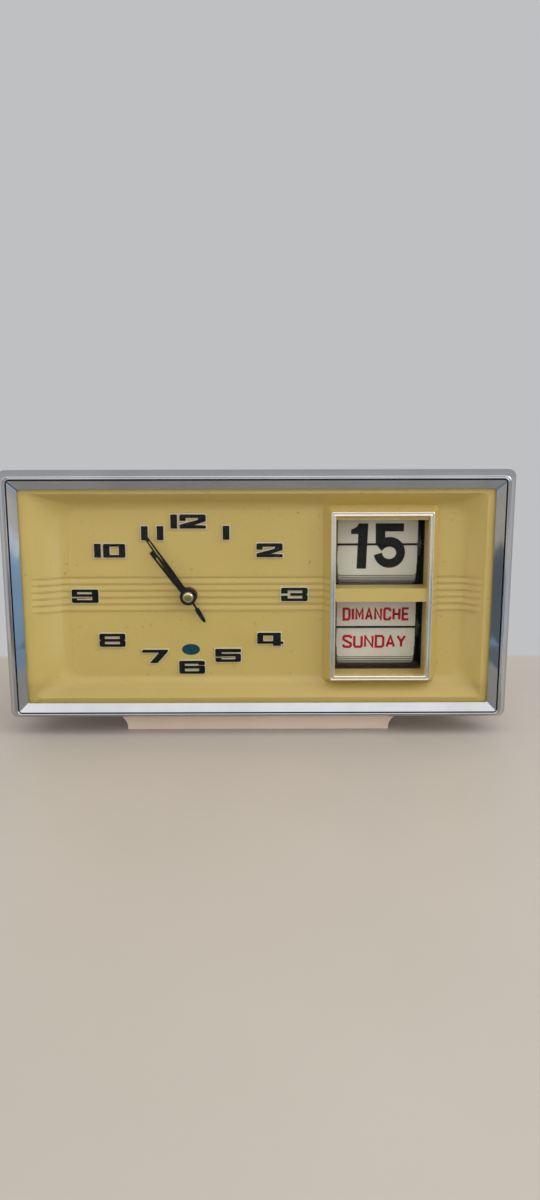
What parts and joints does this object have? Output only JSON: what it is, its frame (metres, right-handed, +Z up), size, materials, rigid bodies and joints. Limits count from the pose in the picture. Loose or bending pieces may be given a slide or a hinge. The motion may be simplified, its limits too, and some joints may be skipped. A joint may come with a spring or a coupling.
{
  "type": "wind-up alarm clock",
  "caption": "Low wide wind-up alarm clock with a bright bezel, three hands on a deep dial, and flip cards for date and day beside it.",
  "frame": {"origin": "centre of the plinth's flat base", "axes": "+X to the right as seen from the front, +Y from the dial to the back, +Z up"},
  "size_m": [0.22, 0.0745, 0.1164],
  "materials": {
    "bezel_chrome": "polished chromed plastic",
    "crystal_clear": "clear glass",
    "dial_gold": "satin gold paint",
    "case_cream": "moulded cream plastic",
    "steel": "plain steel",
    "brass": "turned brass",
    "hand_black": "black lacquer",
    "card_white": "matt off-white",
    "knob_cream": "moulded cream plastic",
    "drum_dark": "dark moulded plastic"
  },
  "bodies": {
    "clock": {"bezel": "bezel_chrome", "crystal": "crystal_clear", "dial_panel": "dial_gold", "calendar_frame": "bezel_chrome", "case_shell": "case_cream", "plinth": "case_cream", "plinth_screws": "steel", "back_cover": "case_cream", "cover_screws": "steel", "front_plate": "brass", "back_plate": "brass", "pillars": "steel", "pillar_nuts": "steel", "movement_screws": "steel", "alarm_bell": "steel", "bell_screw": "steel", "calendar_bracket": "steel", "calendar_screws": "steel", "date_cards": "card_white", "day_cards": "card_white"},
    "minute_hand": {"centre_arbor": "brass", "minute_hand": "hand_black", "cannon_pinion": "brass", "time_set_knob": "knob_cream"},
    "hour_hand": {"hour_wheel": "brass", "hour_hand": "hand_black"},
    "motion_wheel": {"motion_wheel": "brass"},
    "alarm_setting": {"alarm_set_arbor": "steel", "alarm_set_knob": "knob_cream"},
    "alarm_hand": {"alarm_wheel": "brass", "alarm_hand": "hand_black"},
    "fourth_wheel": {"fourth_wheel": "brass"},
    "third_wheel": {"third_wheel": "brass"},
    "centre_wheel": {"centre_wheel": "brass"},
    "time_barrel": {"time_barrel": "brass", "time_mainspring": "steel"},
    "escape_wheel": {"escape_wheel": "brass"},
    "pallet_lever": {"pallet_lever": "steel"},
    "balance": {"balance_wheel": "brass", "hairspring": "steel"},
    "regulator": {"regulator_lever": "steel"},
    "time_winding": {"time_winding_arbor": "steel", "time_winding_key": "brass"},
    "alarm_winding": {"alarm_winding_arbor": "steel", "alarm_winding_key": "brass"},
    "time_click": {"time_click": "steel"},
    "alarm_click": {"alarm_click": "steel"},
    "alarm_barrel": {"alarm_barrel": "brass", "alarm_mainspring": "steel"},
    "alarm_star_wheel": {"alarm_star_wheel": "brass"},
    "alarm_hammer": {"alarm_hammer": "steel"},
    "alarm_stop": {"alarm_stop_button": "knob_cream"},
    "date_drum": {"date_drum": "drum_dark", "date_set_knob": "knob_cream"},
    "day_drum": {"day_drum": "drum_dark", "day_set_knob": "knob_cream"},
    "date_falling_card": {"date_falling_card": "card_white"},
    "day_falling_card": {"day_falling_card": "card_white"}
  },
  "joints": [
    {"name": "minute_hand_turn", "type": "hinge", "parent": "clock", "child": "minute_hand", "pos_m": [-0.03, 0, 0.0617], "axis": [0, 1, 0], "continuous": true},
    {"name": "hour_hand_turn", "type": "hinge", "parent": "clock", "child": "hour_hand", "pos_m": [-0.03, 0, 0.0617], "axis": [0, 1, 0], "continuous": true},
    {"name": "motion_wheel_turn", "type": "hinge", "parent": "clock", "child": "motion_wheel", "pos_m": [-0.024, 0, 0.07209], "axis": [0, 1, 0], "continuous": true},
    {"name": "alarm_set_turn", "type": "hinge", "parent": "clock", "child": "alarm_setting", "pos_m": [-0.03, 0, 0.04322], "axis": [0, 1, 0], "continuous": true},
    {"name": "alarm_hand_turn", "type": "hinge", "parent": "clock", "child": "alarm_hand", "pos_m": [-0.03, 0, 0.0617], "axis": [0, 1, 0], "continuous": true},
    {"name": "fourth_wheel_turn", "type": "hinge", "parent": "clock", "child": "fourth_wheel", "pos_m": [-0.03908, 0, 0.07729], "axis": [0, 1, 0], "continuous": true},
    {"name": "third_wheel_turn", "type": "hinge", "parent": "clock", "child": "third_wheel", "pos_m": [-0.02384, 0, 0.07862], "axis": [0, 1, 0], "continuous": true},
    {"name": "centre_wheel_turn", "type": "hinge", "parent": "clock", "child": "centre_wheel", "pos_m": [-0.03, 0, 0.0617], "axis": [0, 1, 0], "continuous": true},
    {"name": "time_barrel_turn", "type": "hinge", "parent": "clock", "child": "time_barrel", "pos_m": [-0.01103, 0, 0.05269], "axis": [0, 1, 0], "continuous": true},
    {"name": "escape_wheel_turn", "type": "hinge", "parent": "clock", "child": "escape_wheel", "pos_m": [-0.04624, 0, 0.08968], "axis": [0, 1, 0], "continuous": true},
    {"name": "pallet_lever_rock", "type": "hinge", "parent": "clock", "child": "pallet_lever", "pos_m": [-0.03985, 0, 0.09201], "axis": [0, 1, 0], "range_deg": [-7, 7]},
    {"name": "balance_swing", "type": "hinge", "parent": "clock", "child": "balance", "pos_m": [-0.02895, 0, 0.09598], "axis": [0, 1, 0], "range_deg": [-135, 135]},
    {"name": "regulator_swing", "type": "hinge", "parent": "clock", "child": "regulator", "pos_m": [-0.02895, 0, 0.09598], "axis": [0, 1, 0], "range_deg": [-25, 25]},
    {"name": "time_winding_turn", "type": "hinge", "parent": "clock", "child": "time_winding", "pos_m": [-0.01103, 0, 0.05269], "axis": [0, 1, 0], "range_deg": [0, 1440]},
    {"name": "alarm_winding_turn", "type": "hinge", "parent": "clock", "child": "alarm_winding", "pos_m": [-0.04897, 0, 0.05269], "axis": [0, 1, 0], "range_deg": [0, 1440]},
    {"name": "time_click_lift", "type": "hinge", "parent": "clock", "child": "time_click", "pos_m": [-0.00375, 0, 0.04659], "axis": [0, 1, 0], "range_deg": [-5, 10]},
    {"name": "alarm_click_lift", "type": "hinge", "parent": "clock", "child": "alarm_click", "pos_m": [-0.05625, 0, 0.04659], "axis": [0, 1, 0], "range_deg": [-10, 5]},
    {"name": "alarm_barrel_turn", "type": "hinge", "parent": "clock", "child": "alarm_barrel", "pos_m": [-0.04897, 0, 0.05269], "axis": [0, 1, 0], "continuous": true},
    {"name": "alarm_star_wheel_turn", "type": "hinge", "parent": "clock", "child": "alarm_star_wheel", "pos_m": [-0.06908, 0, 0.04666], "axis": [0, 1, 0], "continuous": true},
    {"name": "alarm_hammer_rock", "type": "hinge", "parent": "clock", "child": "alarm_hammer", "pos_m": [-0.0704, 0, 0.05414], "axis": [0, 1, 0], "range_deg": [-6, 6]},
    {"name": "alarm_stop_pull", "type": "slide", "parent": "clock", "child": "alarm_stop", "axis": [0, 1, 0], "range_m": [0, 0.003]},
    {"name": "date_drum_turn", "type": "hinge", "parent": "clock", "child": "date_drum", "pos_m": [0, -0.0081, 0.0825], "axis": [1, 0, 0], "continuous": true},
    {"name": "day_drum_turn", "type": "hinge", "parent": "clock", "child": "day_drum", "pos_m": [0, -0.0081, 0.0449], "axis": [1, 0, 0], "continuous": true},
    {"name": "date_card_fall", "type": "hinge", "parent": "clock", "child": "date_falling_card", "pos_m": [0, -0.0126, 0.0825], "axis": [1, 0, 0], "range_deg": [0, 178]},
    {"name": "day_card_fall", "type": "hinge", "parent": "clock", "child": "day_falling_card", "pos_m": [0, -0.0126, 0.0449], "axis": [1, 0, 0], "range_deg": [0, 178]}
  ],
  "couplings": [
    {"joint": "hour_hand_turn", "follows": "minute_hand_turn", "ratio": 0.083333},
    {"joint": "motion_wheel_turn", "follows": "minute_hand_turn", "ratio": -0.33333},
    {"joint": "alarm_hand_turn", "follows": "alarm_set_turn", "ratio": -0.33333},
    {"joint": "third_wheel_turn", "follows": "fourth_wheel_turn", "ratio": -0.13333},
    {"joint": "centre_wheel_turn", "follows": "fourth_wheel_turn", "ratio": 0.016667},
    {"joint": "time_barrel_turn", "follows": "fourth_wheel_turn", "ratio": -0.0027778},
    {"joint": "escape_wheel_turn", "follows": "fourth_wheel_turn", "ratio": -8},
    {"joint": "alarm_star_wheel_turn", "follows": "alarm_barrel_turn", "ratio": -6}
  ]
}
